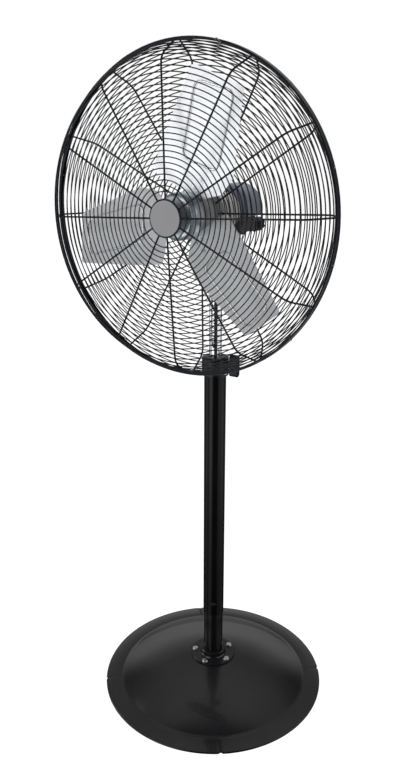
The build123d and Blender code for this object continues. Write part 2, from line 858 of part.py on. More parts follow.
with BuildPart() as rim_band:
    revolve(
        fan_ring(band_outer - band_thick, band_outer, cage_mid + band_width / 2, cage_mid - band_width / 2),
        axis=fan_axis,
    )
    for k in range(spoke_count):
        with BuildSketch(fan_plane(band_outer - 10, 15 + 30 * k + spoke_phase, cage_mid)):
            Circle(1.7)
        extrude(amount=20, mode=Mode.SUBTRACT)

with BuildPart() as rim_screws:
    for k in range(spoke_count):
        spot = fan_plane(band_outer, 15 + 30 * k + spoke_phase, cage_mid)
        with BuildSketch(spot):
            Circle(3.2)
        extrude(amount=2.2)
        with BuildSketch(spot):
            Circle(1.6)
        extrude(amount=-6)

with BuildPart() as badge_plate:
    revolve(fan_ring(0, 46, plate_back + 2.5, plate_back), axis=fan_axis)

with BuildPart() as badge:
    revolve(fan_ring(0, 42, plate_back + 4.3, plate_back + 2.5), axis=fan_axis)

pieces = {
    "base_plate": base_plate.part,
    "base_flange": base_flange.part,
    "weld_collar": weld_collar.part,
    "socket_tube": socket_tube.part,
    "flange_bolts": flange_bolts.part,
    "flange_nuts": flange_nuts.part,
    "outer_pole": outer_pole.part,
    "pole_bolt": pole_bolt.part,
    "pole_nut": pole_nut.part,
    "pole_collar": pole_collar.part,
    "height_screw": height_screw.part,
    "height_knob": height_knob.part,
    "inner_tube": inner_tube.part,
    "slide_foot": slide_foot.part,
    "tilt_bracket": tilt_bracket.part,
    "tilt_bolt": tilt_bolt.part,
    "tilt_knob": tilt_knob.part,
    "neck": neck.part,
    "thrust_washer": thrust_washer.part,
    "link_arm": link_arm.part,
    "gearbox_foot": gearbox_foot.part,
    "motor_shell": motor_shell.part,
    "stator": stator.part,
    "windings": windings.part,
    "front_bearing": front_bearing.part,
    "rear_bell": rear_bell.part,
    "rear_bearing": rear_bearing.part,
    "motor_hood": motor_hood.part,
    "capacitor": capacitor.part,
    "pull_switch": pull_switch.part,
    "pull_chain": pull_chain.part,
    "clutch_shaft": clutch_shaft.part,
    "clutch_knob": clutch_knob.part,
    "cable_gland": cable_gland.part,
    "worm_wheel": worm_wheel.part,
    "crank": crank.part,
    "shaft": shaft.part,
    "rotor_core": rotor_core.part,
    "worm": worm.part,
    "shaft_collar": shaft_collar.part,
    "hub": hub.part,
    "spinner": spinner.part,
    "blade_a": blades[0],
    "blade_b": blades[1],
    "blade_c": blades[2],
    "rivets": rivets.part,
    "front_guard": front_guard.part,
    "rear_guard": rear_guard.part,
    "guard_ring": guard_ring.part,
    "guard_screws": guard_screws.part,
    "rim_band": rim_band.part,
    "rim_screws": rim_screws.part,
    "badge_plate": badge_plate.part,
    "badge": badge.part,
}
for name, piece in pieces.items():
    piece.label = name
    export_step(piece, "parts/" + name + ".step")
    box = piece.bounding_box()
    print(name, len(piece.solids()), "solids", [round(v, 1) for v in (*box.min, *box.max)])
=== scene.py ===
import math

import bmesh
import bpy
from mathutils import Matrix, Vector


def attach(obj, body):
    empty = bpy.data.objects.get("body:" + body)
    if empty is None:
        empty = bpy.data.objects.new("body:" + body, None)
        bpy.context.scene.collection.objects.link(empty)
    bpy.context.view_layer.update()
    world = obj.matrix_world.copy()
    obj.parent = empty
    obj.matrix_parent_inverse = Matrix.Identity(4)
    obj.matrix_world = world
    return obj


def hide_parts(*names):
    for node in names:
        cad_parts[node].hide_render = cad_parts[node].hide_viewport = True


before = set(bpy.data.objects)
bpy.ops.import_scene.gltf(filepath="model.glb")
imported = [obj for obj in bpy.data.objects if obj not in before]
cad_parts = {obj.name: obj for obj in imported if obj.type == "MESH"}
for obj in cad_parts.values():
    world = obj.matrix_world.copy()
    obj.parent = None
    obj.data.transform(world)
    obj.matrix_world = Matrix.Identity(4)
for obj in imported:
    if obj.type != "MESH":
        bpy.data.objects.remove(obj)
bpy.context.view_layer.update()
print("frame loaded, nodes:", len(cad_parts))

mm = 0.001

fan = {
    "axisHeight": 1.452,    # metres; the fan's axis runs along Y at this height
    "cageMid": 151.0,       # mm, how far the cage's joint stands in front of the pole
    "spokePhase": -2.55,    # degrees, from picture left, clockwise seen from the front
}


# camera, at the photograph's place
camera = {
    "place": (1.0316, -1.7064, 1.6298),    # metres
    "azimuth": 31.69,                      # degrees, as the next two
    "pitch": 17.49,
    "roll": 0.28,
    "focalPixels": 743.39,                 # in a picture of the next height
    "frameHeight": 770,
    "sensorHeight": 24.0,
    "shiftX": -0.00143,
    "shiftY": -0.01362,
    "clipEnd": 60,
}


def makeCamera():
    az, pitch, roll = (math.radians(camera[key]) for key in ("azimuth", "pitch", "roll"))
    level = math.cos(pitch)
    ahead = Vector((-math.sin(az) * level, math.cos(az) * level, -math.sin(pitch)))
    side = Vector((math.cos(az), math.sin(az), 0))
    up = side.cross(ahead)
    right = side * math.cos(roll) + up * math.sin(roll)
    top = up * math.cos(roll) - side * math.sin(roll)
    data = bpy.data.cameras.new("photoCamera")
    data.sensor_fit = "VERTICAL"
    data.sensor_height = camera["sensorHeight"]
    data.lens = camera["focalPixels"] / camera["frameHeight"] * camera["sensorHeight"]
    data.shift_x = camera["shiftX"]
    data.shift_y = camera["shiftY"]
    data.clip_end = camera["clipEnd"]
    eye = bpy.data.objects.new("photoCamera", data)
    turn = Matrix((right, top, -ahead)).transposed().to_4x4()
    eye.matrix_world = Matrix.Translation(camera["place"]) @ turn
    bpy.context.collection.objects.link(eye)
    bpy.context.scene.camera = eye


makeCamera()
print("camera set")


# helpers for node trees
mixSockets = {"FLOAT": (2, 3, 0), "RGBA": (6, 7, 2)}    # first input, second input, output
noiseSpan = (0.25, 0.75)                                # where most of a noise's values lie


def feed(link, value, socket):
    # another node's output is linked, a number or a colour is set
    if isinstance(value, bpy.types.NodeSocket):
        link(value, socket)
    elif isinstance(value, tuple):
        socket.default_value = (*value, 1)
    else:
        socket.default_value = value


def mathNode(nodes, link, operation, first, second):
    node = nodes.new("ShaderNodeMath")
    node.operation = operation
    feed(link, first, node.inputs[0])
    feed(link, second, node.inputs[1])
    return node.outputs[0]


def mapNode(nodes, link, source, given, wanted):
    # moves a value from one range to another
    node = nodes.new("ShaderNodeMapRange")
    for label, value in zip(("From Min", "From Max", "To Min", "To Max"), (*given, *wanted)):
        feed(link, value, node.inputs[label])
    link(source, node.inputs["Value"])
    return node.outputs[0]


def mixNode(nodes, link, kind, factor, first, second):
    node = nodes.new("ShaderNodeMix")
    node.data_type = kind
    firstSocket, secondSocket, result = mixSockets[kind]
    feed(link, factor, node.inputs[0])
    feed(link, first, node.inputs[firstSocket])
    feed(link, second, node.inputs[secondSocket])
    return node.outputs[result]


def noiseNode(nodes, link, place, scale, detail):
    node = nodes.new("ShaderNodeTexNoise")
    node.inputs["Detail"].default_value = detail
    link(place, node.inputs["Vector"])
    feed(link, scale, node.inputs["Scale"])
    return node.outputs["Fac"]


def bumpNode(nodes, link, height, strength, depth):
    node = nodes.new("ShaderNodeBump")
    node.inputs["Strength"].default_value = strength
    node.inputs["Distance"].default_value = depth
    link(height, node.inputs["Height"])
    return node.outputs["Normal"]


def greyRamp(nodes, link, source, stops):
    # stops are pairs of a place from 0 to 1 and a brightness, in order
    node = nodes.new("ShaderNodeValToRGB")
    elements = node.color_ramp.elements
    for place, level in stops[2:]:
        elements.new(place)
    for element, (place, level) in zip(elements, stops):
        element.position = place
        element.color = (level, level, level, 1)
    link(source, node.inputs["Fac"])
    return node.outputs["Color"]


def groupNode(nodes, group, values):
    node = nodes.new("ShaderNodeGroup")
    node.node_tree = group
    for label, value in values.items():
        node.inputs[label].default_value = value
    return node


def newGroup(name, inputs, outputs):
    group = bpy.data.node_groups.new(name, "ShaderNodeTree")
    for label, kind, value in inputs:
        socket = group.interface.new_socket(label, in_out="INPUT", socket_type=kind)
        socket.default_value = value
    for label, kind in outputs:
        group.interface.new_socket(label, in_out="OUTPUT", socket_type=kind)
    return group, group.nodes.new("NodeGroupInput"), group.nodes.new("NodeGroupOutput")


# shared shader groups: paint grain and brushed metal
grainLook = {
    "fineDetail": 2.0,
    "driftDetail": 4.0,
    "driftSpan": (0.3, 0.7),    # noise values that give the least and the most tone
    "toneDrift": 0.5,           # the tone runs this far below and above 1
    "fleckSize": 0.16,          # share of a cell of the fleck pattern
}


def makePeelGroup():
    # a tone that drifts slowly, a fine height, and tiny flecks that carry painted sparkle
    group, put, out = newGroup(
        "paintPeel",
        [("Fine Scale", "NodeSocketFloat", 500.0), ("Drift Scale", "NodeSocketFloat", 6.0),
         ("Drift", "NodeSocketFloat", 0.2)],
        [("Tone", "NodeSocketFloat"), ("Height", "NodeSocketFloat"), ("Sparkle Flecks", "NodeSocketFloat")],
    )
    nodes, link = group.nodes, group.links.new
    place = nodes.new("ShaderNodeTexCoord").outputs["Object"]
    fine = noiseNode(nodes, link, place, put.outputs["Fine Scale"], grainLook["fineDetail"])
    drift = noiseNode(nodes, link, place, put.outputs["Drift Scale"], grainLook["driftDetail"])
    least = mathNode(nodes, link, "SUBTRACT", 1.0, put.outputs["Drift"])
    most = mathNode(nodes, link, "ADD", 1.0, put.outputs["Drift"])
    tone = mapNode(nodes, link, drift, grainLook["driftSpan"], (least, most))
    # tiny flecks: the mask for bright specks of painted sparkle
    cells = nodes.new("ShaderNodeTexVoronoi")
    link(place, cells.inputs["Vector"])
    link(put.outputs["Fine Scale"], cells.inputs["Scale"])
    fleckSpan = (0.0, grainLook["fleckSize"])
    flecks = mapNode(nodes, link, cells.outputs["Distance"], fleckSpan, (1.0, 0.0))
    link(tone, out.inputs["Tone"])
    link(fine, out.inputs["Height"])
    link(flecks, out.inputs["Sparkle Flecks"])
    return group


brushLook = {
    "lineDetail": 3.0,
    "smudgeDetail": 5.0,
    "depth": 0.0002,            # metres
}


def makeBrushGroup():
    # long fine lines along one direction, and a slow smudge
    group, put, out = newGroup(
        "brushLines",
        [("Stretch", "NodeSocketVector", (400.0, 20.0, 400.0)),
         ("Smudge Scale", "NodeSocketFloat", 9.0)],
        [("Lines", "NodeSocketFloat"), ("Smudge", "NodeSocketFloat")],
    )
    nodes, link = group.nodes, group.links.new
    place = nodes.new("ShaderNodeTexCoord").outputs["Object"]
    stretch = nodes.new("ShaderNodeVectorMath")
    stretch.operation = "MULTIPLY"
    link(place, stretch.inputs[0])
    link(put.outputs["Stretch"], stretch.inputs[1])
    lines = noiseNode(nodes, link, stretch.outputs[0], 1.0, brushLook["lineDetail"])
    smudge = noiseNode(nodes, link, place, put.outputs["Smudge Scale"], brushLook["smudgeDetail"])
    link(lines, out.inputs["Lines"])
    link(smudge, out.inputs["Smudge"])
    return group


peelGroup = makePeelGroup()
brushGroup = makeBrushGroup()


# materials
def startMaterial(name, metallic, specular=0.5, coat=0.0, coatRough=0.05):
    material = bpy.data.materials.new(name)
    material.use_nodes = True
    shader = material.node_tree.nodes["Principled BSDF"]
    shader.inputs["Metallic"].default_value = metallic
    shader.inputs["Specular IOR Level"].default_value = specular
    shader.inputs["Coat Weight"].default_value = coat
    shader.inputs["Coat Roughness"].default_value = coatRough
    return material, shader, material.node_tree.nodes, material.node_tree.links.new


def paint(name, dark, light, rough, fine=500.0, bump=0.15, depth=0.0003, drift=5.0,
          roughSpread=(0.88, 1.14), fleck=None, **more):
    # paint or moulded plastic: the colour drifts from dark to light, the fine grain moves the
    # gloss, and fleck is the colour of tiny bright specks
    material, shader, nodes, link = startMaterial(name, 0.0, **more)
    toneDrift = grainLook["toneDrift"]
    scales = {"Fine Scale": fine, "Drift Scale": drift, "Drift": toneDrift}
    grain = groupNode(nodes, peelGroup, scales)
    tone = mapNode(nodes, link, grain.outputs["Tone"], (1 - toneDrift, 1 + toneDrift), (0.0, 1.0))
    colour = mixNode(nodes, link, "RGBA", tone, dark, light)
    # fleck paints bright specks into the colour: the paint's flakes, with their sparkle painted in
    if fleck:
        colour = mixNode(nodes, link, "RGBA", grain.outputs["Sparkle Flecks"], colour, fleck)
    roughSpan = (rough * roughSpread[0], rough * roughSpread[1])
    roughness = mapNode(nodes, link, grain.outputs["Height"], noiseSpan, roughSpan)
    link(colour, shader.inputs["Base Color"])
    link(roughness, shader.inputs["Roughness"])
    link(bumpNode(nodes, link, grain.outputs["Height"], bump, depth), shader.inputs["Normal"])
    return material


def metal(name, dark, light, rough, stretch=(300.0, 300.0, 30.0), bump=0.05, smudge=9.0):
    # bare or plated metal: fine lines, and smudges that change its colour; rough is a range
    material, shader, nodes, link = startMaterial(name, 1.0)
    brush = groupNode(nodes, brushGroup, {"Stretch": stretch, "Smudge Scale": smudge})
    tone = mapNode(nodes, link, brush.outputs["Smudge"], noiseSpan, (0.0, 1.0))
    link(mixNode(nodes, link, "RGBA", tone, dark, light), shader.inputs["Base Color"])
    link(mapNode(nodes, link, brush.outputs["Lines"], noiseSpan, rough), shader.inputs["Roughness"])
    normal = bumpNode(nodes, link, brush.outputs["Lines"], bump, brushLook["depth"])
    link(normal, shader.inputs["Normal"])
    return material


# the base's bright flecks are painted sparkle of its paint's flakes
baseEnamel = paint("baseEnamel", (0.004, 0.004, 0.005), (0.01, 0.0095, 0.0105), 0.2, fine=900.0,
                   bump=0.2, depth=0.0004, drift=4.0, roughSpread=(0.8, 1.25),
                   fleck=(0.1, 0.1, 0.11), specular=0.4, coat=0.35)
socketGloss = paint("socketGloss", (0.003, 0.003, 0.0035), (0.007, 0.007, 0.008), 0.12,
                    bump=0.08, specular=0.3, coat=0.3)
poleSatin = paint("poleSatin", (0.0018, 0.0018, 0.002), (0.0042, 0.0042, 0.0048), 0.2,
                  fine=700.0, bump=0.1, specular=0.2)
wireBlack = paint("wireBlack", (0.003, 0.0036, 0.006), (0.008, 0.0095, 0.015), 0.24,
                  fine=900.0, bump=0.1, specular=0.3, coat=0.08)
bandBlack = paint("bandBlack", (0.006, 0.007, 0.01), (0.014, 0.017, 0.023), 0.28,
                  fine=600.0, bump=0.1, specular=0.3, coat=0.12)
bladeSilver = metal("bladeSilver", (0.76, 0.775, 0.8), (0.86, 0.875, 0.9), (0.27, 0.34),
                    stretch=(12.0, 160.0, 160.0), bump=0.012)
beadSilver = metal("beadSilver", (0.8, 0.81, 0.83), (0.9, 0.91, 0.93), (0.2, 0.3), bump=0.04)
tubeChrome = metal("tubeChrome", (0.74, 0.76, 0.79), (0.84, 0.86, 0.89), (0.05, 0.11),
                   stretch=(60.0, 60.0, 8.0), bump=0.01)
spinnerChrome = metal("spinnerChrome", (0.72, 0.8, 0.85), (0.88, 0.94, 0.98), (0.38, 0.5),
                      stretch=(200.0, 30.0, 200.0), bump=0.03)
brightSteel = metal("brightSteel", (0.6, 0.62, 0.66), (0.78, 0.8, 0.84), (0.16, 0.3),
                    bump=0.06, smudge=90.0)
blackSteel = paint("blackSteel", (0.006, 0.006, 0.007), (0.015, 0.015, 0.017), 0.24, fine=900.0)
motorGrey = paint("motorGrey", (0.4, 0.395, 0.39), (0.54, 0.535, 0.525), 0.4, fine=650.0, bump=0.18)
hoodSlate = paint("hoodSlate", (0.13, 0.146, 0.188), (0.19, 0.208, 0.258), 0.3,
                  fine=650.0, bump=0.14)
castingDark = paint("castingDark", (0.022, 0.02, 0.022), (0.05, 0.047, 0.052), 0.45,
                    fine=420.0, bump=0.5, depth=0.0006)
blackPlastic = paint("blackPlastic", (0.003, 0.003, 0.0035), (0.008, 0.008, 0.009), 0.3,
                     fine=1100.0, bump=0.2, specular=0.35)
badgeGrey = paint("badgeGrey", (0.2, 0.2, 0.21), (0.26, 0.26, 0.27), 0.38, fine=900.0, bump=0.1)
nylonPale = paint("nylonPale", (0.66, 0.64, 0.58), (0.76, 0.74, 0.69), 0.45)
lamination = metal("lamination", (0.2, 0.2, 0.21), (0.32, 0.32, 0.33), (0.4, 0.6),
                   stretch=(60.0, 1400.0, 60.0))
copperWire = metal("copperWire", (0.55, 0.22, 0.1), (0.75, 0.36, 0.18), (0.3, 0.45),
                   stretch=(900.0, 900.0, 900.0), bump=0.4)

finishOf = {
    baseEnamel: ["base_plate", "base_flange", "weld_collar"],
    socketGloss: ["socket_tube"],
    poleSatin: ["outer_pole"],
    brightSteel: ["flange_bolts", "flange_nuts", "pole_nut", "height_screw", "tilt_bolt",
                  "link_arm", "front_bearing", "rear_bearing", "guard_screws", "rim_screws",
                  "clutch_shaft", "shaft", "worm", "shaft_collar", "hub", "rivets"],
    blackSteel: ["pole_bolt", "pull_chain", "crank"],
    blackPlastic: ["pole_collar", "height_knob", "tilt_knob", "capacitor", "pull_switch",
                   "cable_gland", "clutch_knob"],
    tubeChrome: ["inner_tube"],
    nylonPale: ["slide_foot", "thrust_washer", "worm_wheel"],
    castingDark: ["tilt_bracket", "neck", "gearbox_foot"],
    motorGrey: ["motor_shell", "rear_bell", "guard_ring"],
    lamination: ["stator", "rotor_core"],
    copperWire: ["windings"],
    hoodSlate: ["motor_hood"],
    wireBlack: ["front_guard", "rear_guard", "badge_plate"],
    bandBlack: ["rim_band"],
    badgeGrey: ["badge"],
    spinnerChrome: ["spinner"],
    bladeSilver: ["blade_a", "blade_b", "blade_c"],
}
for material, nodeNames in finishOf.items():
    for nodeName in nodeNames:
        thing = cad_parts[nodeName]
        thing.data.materials.clear()
        thing.data.materials.append(material)
print("finishes on the packed pieces")


# wires and beads: one path, thickened and repeated round the fan's axis
def makeWireTree():
    tree = bpy.data.node_groups.new("wireRoundAxis", "GeometryNodeTree")
    face = tree.interface
    face.new_socket("Geometry", in_out="INPUT", socket_type="NodeSocketGeometry")
    for label, kind, value in (
        ("Count", "NodeSocketInt", 12), ("Start Angle", "NodeSocketFloat", 0.0),
        ("Wire Radius", "NodeSocketFloat", 0.002), ("Sides", "NodeSocketInt", 8),
        ("Centre", "NodeSocketVector", (0, 0, 0)), ("Material", "NodeSocketMaterial", None),
    ):
        socket = face.new_socket(label, in_out="INPUT", socket_type=kind)
        if value is not None:
            socket.default_value = value
    face.new_socket("Geometry", in_out="OUTPUT", socket_type="NodeSocketGeometry")
    nodes, link = tree.nodes, tree.links.new
    put, out = nodes.new("NodeGroupInput"), nodes.new("NodeGroupOutput")
    # the path becomes a round wire
    toCurve = nodes.new("GeometryNodeMeshToCurve")
    ring = nodes.new("GeometryNodeCurvePrimitiveCircle")
    tube = nodes.new("GeometryNodeCurveToMesh")
    tube.inputs["Fill Caps"].default_value = True
    smooth = nodes.new("GeometryNodeSetShadeSmooth")
    link(put.outputs["Geometry"], toCurve.inputs["Mesh"])
    link(toCurve.outputs["Curve"], tube.inputs["Curve"])
    link(put.outputs["Sides"], ring.inputs["Resolution"])
    link(put.outputs["Wire Radius"], ring.inputs["Radius"])
    link(ring.outputs["Curve"], tube.inputs["Profile Curve"])
    link(tube.outputs["Mesh"], smooth.inputs["Geometry"])
    # copies spread evenly over a full turn, from the start angle on
    spots = nodes.new("GeometryNodeMeshLine")
    spots.inputs["Offset"].default_value = (0, 0, 0)
    index = nodes.new("GeometryNodeInputIndex")
    share = mathNode(nodes, link, "DIVIDE", 2 * math.pi, put.outputs["Count"])
    turn = nodes.new("ShaderNodeMath")
    turn.operation = "MULTIPLY_ADD"
    angle = nodes.new("ShaderNodeCombineXYZ")
    copies = nodes.new("GeometryNodeInstanceOnPoints")
    link(put.outputs["Count"], spots.inputs["Count"])
    link(index.outputs[0], turn.inputs[0])
    link(share, turn.inputs[1])
    link(put.outputs["Start Angle"], turn.inputs[2])
    link(turn.outputs[0], angle.inputs["Y"])
    link(spots.outputs["Mesh"], copies.inputs["Points"])
    link(smooth.outputs["Geometry"], copies.inputs["Instance"])
    link(angle.outputs[0], copies.inputs["Rotation"])
    # moved to the axis, made real, and given its material
    move = nodes.new("GeometryNodeTransform")
    real = nodes.new("GeometryNodeRealizeInstances")
    finish = nodes.new("GeometryNodeSetMaterial")
    link(copies.outputs["Instances"], move.inputs["Geometry"])
    link(put.outputs["Centre"], move.inputs["Translation"])
    link(move.outputs["Geometry"], real.inputs["Geometry"])
    link(real.outputs["Geometry"], finish.inputs["Geometry"])
    link(put.outputs["Material"], finish.inputs["Material"])
    link(finish.outputs["Geometry"], out.inputs["Geometry"])
    return tree


wireTree = makeWireTree()


def wirePiece(name, path, closed, material, count, startAngle, radius, sides):
    # path is in metres, from the fan's axis; radius is in mm; the result is a plain mesh
    mesh = bpy.data.meshes.new(name + "Path")
    edges = [(i, i + 1) for i in range(len(path) - 1)]
    if closed:
        edges.append((len(path) - 1, 0))
    mesh.from_pydata([tuple(point) for point in path], edges, [])
    source = bpy.data.objects.new(name + "Path", mesh)
    bpy.context.collection.objects.link(source)
    modifier = source.modifiers.new("wires", "NODES")
    modifier.node_group = wireTree
    values = {
        "Count": count, "Start Angle": math.radians(startAngle), "Wire Radius": radius * mm,
        "Sides": sides, "Centre": (0.0, 0.0, fan["axisHeight"]), "Material": material,
    }
    for item in wireTree.interface.items_tree:
        if item.in_out == "INPUT" and item.name in values:
            modifier[item.identifier] = values[item.name]
    graph = bpy.context.evaluated_depsgraph_get()
    result = bpy.data.meshes.new_from_object(source.evaluated_get(graph), depsgraph=graph)
    source.modifiers.clear()
    bpy.data.objects.remove(source)
    result.name = name
    result.materials.clear()
    result.materials.append(material)
    piece = bpy.data.objects.new(name, result)
    bpy.context.collection.objects.link(piece)
    return piece


def joinPieces(name, parts, material):
    whole = bmesh.new()
    for part in parts:
        whole.from_mesh(part.data)
    mesh = bpy.data.meshes.new(name)
    whole.to_mesh(mesh)
    whole.free()
    mesh.materials.append(material)
    for part in parts:
        bpy.data.objects.remove(part)
    piece = bpy.data.objects.new(name, mesh)
    bpy.context.collection.objects.link(piece)
    return piece


def roundCorner(first, corner, last, bend, steps):
    # a curve that starts and ends this bend away from the corner
    before = corner + (first - corner).normalized() * bend
    after = corner + (last - corner).normalized() * bend
    points = []
    for i in range(steps + 1):
        f = i / steps
        points.append(before * (1 - f) ** 2 + corner * 2 * f * (1 - f) + after * f ** 2)
    return points


# the two halves of the cage, in mm; a spoke's points are radius and distance in front of the joint
cage = {
    "spokes": 12,
    "spokeRadius": 2.3,
    "spokeSides": 10,
    "wireRadius": 1.45,
    "wireSides": 7,
    "pitch": 13.17,           # between turns on the cone
    "shoulderPitch": 10.6,    # between turns on the sloped edge
    "easeBefore": 30.0,       # where the pitch starts to change, before the cone's end
    "easeOver": 40.0,         # over what length it changes
    "stopShort": 5.0,         # how far before the joint the wound wire ends
    "turnSteps": 120,
    "lipRadius": 401.7,
    "lipWire": 2.0,
    "lipSides": 8,
    "ringSteps": 180,         # points on each closed ring
    "bend": 20.0,             # where the cone turns into the edge
    "bendSteps": 10,
    "innerRing": -78.75,      # the rear wire's first ring, round the motor
    "innerLift": 1.3,
    "front": {"spoke": ((40, 80.2), (361, 70.4), (401.5, 8.4)), "firstTurn": 56.0, "lip": 5.6,
              "turn": -0.27},
    "rear": {"spoke": ((52, -75.0), (364, -60.0), (401.5, -8.4)), "firstTurn": 76.0, "lip": -5.6,
             "turn": 0.0},
}


def spokeRun(half):
    first, corner, last = (Vector(point) for point in half["spoke"])
    return [first] + roundCorner(first, corner, last, cage["bend"], cage["bendSteps"]) + [last]


def alongRun(points, distance):
    # place and direction at a distance along a run of points
    for a, b in zip(points, points[1:]):
        length = (b - a).length
        if distance <= length or b is points[-1]:
            return a + (b - a) * (distance / length), (b - a).normalized()
        distance -= length


def onCircle(radius, ahead, angle):
    # from picture left, clockwise seen from the front
    return Vector((-radius * math.cos(angle), -ahead, radius * math.sin(angle))) * mm


def spiralPath(half, side):
    # one wire wound outward over the spokes, from the first turn to the joint
    run = spokeRun(half)
    total = sum((b - a).length for a, b in zip(run, run[1:]))
    coneEnd = (Vector(half["spoke"][1]) - Vector(half["spoke"][0])).length
    gap = (cage["spokeRadius"] + cage["wireRadius"]) * side
    distance = half["firstTurn"] - half["spoke"][0][0]
    angle = half["turn"] * 2 * math.pi
    points = []
    while distance < total - cage["stopShort"]:
        place, way = alongRun(run, distance)
        radius = place.x - way.y * gap
        ahead = place.y + way.x * gap + fan["cageMid"]
        points.append(onCircle(radius, ahead, angle))
        blend = min(max((distance - coneEnd + cage["easeBefore"]) / cage["easeOver"], 0), 1)
        pitch = cage["pitch"] * (1 - blend) + cage["shoulderPitch"] * blend
        distance += pitch / cage["turnSteps"]
        angle -= 2 * math.pi / cage["turnSteps"]
    return points


def circlePath(radius, ahead):
    steps = cage["ringSteps"]
    return [onCircle(radius, ahead, 2 * math.pi * i / steps) for i in range(steps)]


def makeCageHalf(name, half, side, nodeName):
    middle = fan["cageMid"]
    spoke = [Vector((0, -(point.y + middle), point.x)) * mm for point in spokeRun(half)]
    lip = circlePath(cage["lipRadius"], middle + half["lip"])
    extra = [
        wirePiece(name + "Spokes", spoke, False, wireBlack, cage["spokes"], fan["spokePhase"] - 90,
                  cage["spokeRadius"], cage["spokeSides"]),
        wirePiece(name + "Wound", spiralPath(half, side), False, wireBlack, 1, 0,
                  cage["wireRadius"], cage["wireSides"]),
        wirePiece(name + "Lip", lip, True, wireBlack, 1, 0, cage["lipWire"], cage["lipSides"]),
    ]
    if side < 0:    # the rear half's wire starts in a ring round the motor
        ring = circlePath(half["firstTurn"], middle + cage["innerRing"] + cage["innerLift"])
        extra.append(wirePiece(name + "Inner", ring, True, wireBlack, 1, 0,
                               cage["wireRadius"], cage["wireSides"]))
    piece = joinPieces(name, extra, wireBlack)
    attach(piece, "head")
    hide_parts(nodeName)
    return piece


makeCageHalf("frontCage", cage["front"], 1, "front_guard")
makeCageHalf("rearCage", cage["rear"], -1, "rear_guard")
print("cage wires made")


# pressed beads on the blades, in mm
blade = {
    "count": 3,
    "phase": -2.53,          # degrees, counted as the spokes are
    "depth": 146.3,          # in front of the pole
    "slope": 0.22,           # how far a blade goes back for each mm across it
    "thick": 1.8,
    "beadCorners": ((319, -10), (130, 30), (120, -66), (300, -108)),    # out, across
    "beadInset": 3.0,
    "insetReach": 1.35,      # a corner moves this much more than a side
    "beadRadius": 3.3,
    "beadSides": 12,
    "beadSink": 0.6,         # how deep the bead's middle lies below the front face
    "cornerRound": 22.0,
    "cornerSteps": 6,
}


def bladePoint(radius, across):
    # a place on the first blade's bead: out from the axis, and across the blade
    out = Vector((-1, 0, 0))
    along = Vector((0, blade["slope"], 1))
    up = Vector((0, -1, blade["slope"])).normalized()
    place = out * radius + along * across + up * (blade["thick"] / 2 - blade["beadSink"])
    return (place + Vector((0, -blade["depth"], 0))) * mm


def beadLoop():
    corners = [Vector(corner) for corner in blade["beadCorners"]]
    middle = sum(corners, Vector((0, 0))) / len(corners)
    corners = [corner + (middle - corner).normalized() * blade["beadInset"] * blade["insetReach"]
               for corner in corners]
    points = []
    for i, corner in enumerate(corners):
        following = corners[(i + 1) % len(corners)]
        points += roundCorner(corners[i - 1], corner, following, blade["cornerRound"],
                              blade["cornerSteps"])
    return points


beadPath = [bladePoint(point.x, point.y) for point in beadLoop()]
beads = wirePiece("bladeBeads", beadPath, True, beadSilver, blade["count"], blade["phase"],
                  blade["beadRadius"], blade["beadSides"])
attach(beads, "rotor")
print("blade beads made")


# base dome, turned smooth, in mm
base = {
    "radius": 338.7,
    "rimHeight": 5.5,
    "rimStart": 2.0,         # how far outside the dome the flat rim starts
    "edgeRound": ((2.2, 0.0), (0.8, 0.7), (0.0, 2.0)),    # in from the edge, down from the rim
    "footRound": 0.5,
    "domeRadius": 289.0,
    "domeTop": 76.0,
    "domeSteps": 24,
    "flatRadius": 70.0,
    "sphereRadius": 582.7,
    "wall": 6.0,
    "underInset": 1.0,       # how far further in the inner side lies
    "underLowest": 0.2,
    "hole": 22.0,
    "notchRadius": 5.0,
    "notchReach": 10.0,      # only what is this near the edge follows the notches
    "notchAngles": (-142.1, -54.8, 34.2, 129.5),    # degrees
    "segments": 720,
    "sharpFrom": 35,         # degrees between two faces
}


def lathe(name, profile, segments, body, material, shape):
    # turns a closed profile of (radius, height) in mm round Z; shape moves a radius by its angle
    work = bmesh.new()
    rings = []
    for i in range(segments):
        angle = 2 * math.pi * i / segments
        ringPoints = []
        for radius, height in profile:
            radius = shape(radius, angle)
            place = (radius * math.cos(angle) * mm, radius * math.sin(angle) * mm, height * mm)
            ringPoints.append(work.verts.new(place))
        rings.append(ringPoints)
    for i in range(segments):
        a, b = rings[i], rings[(i + 1) % segments]
        for k in range(len(profile)):
            n = (k + 1) % len(profile)
            work.faces.new((a[k], b[k], b[n], a[n]))
    bmesh.ops.recalc_face_normals(work, faces=work.faces)
    mesh = bpy.data.meshes.new(name)
    work.to_mesh(mesh)
    work.free()
    mesh.shade_smooth()
    mesh.set_sharp_from_angle(angle=math.radians(base["sharpFrom"]))
    mesh.materials.append(material)
    piece = bpy.data.objects.new(name, mesh)
    bpy.context.collection.objects.link(piece)
    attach(piece, body)
    return piece


def domeHeight(radius):
    # on the dome's sphere
    centre = base["domeTop"] - math.sqrt(base["sphereRadius"] ** 2 - base["flatRadius"] ** 2)
    return centre + math.sqrt(base["sphereRadius"] ** 2 - radius ** 2)


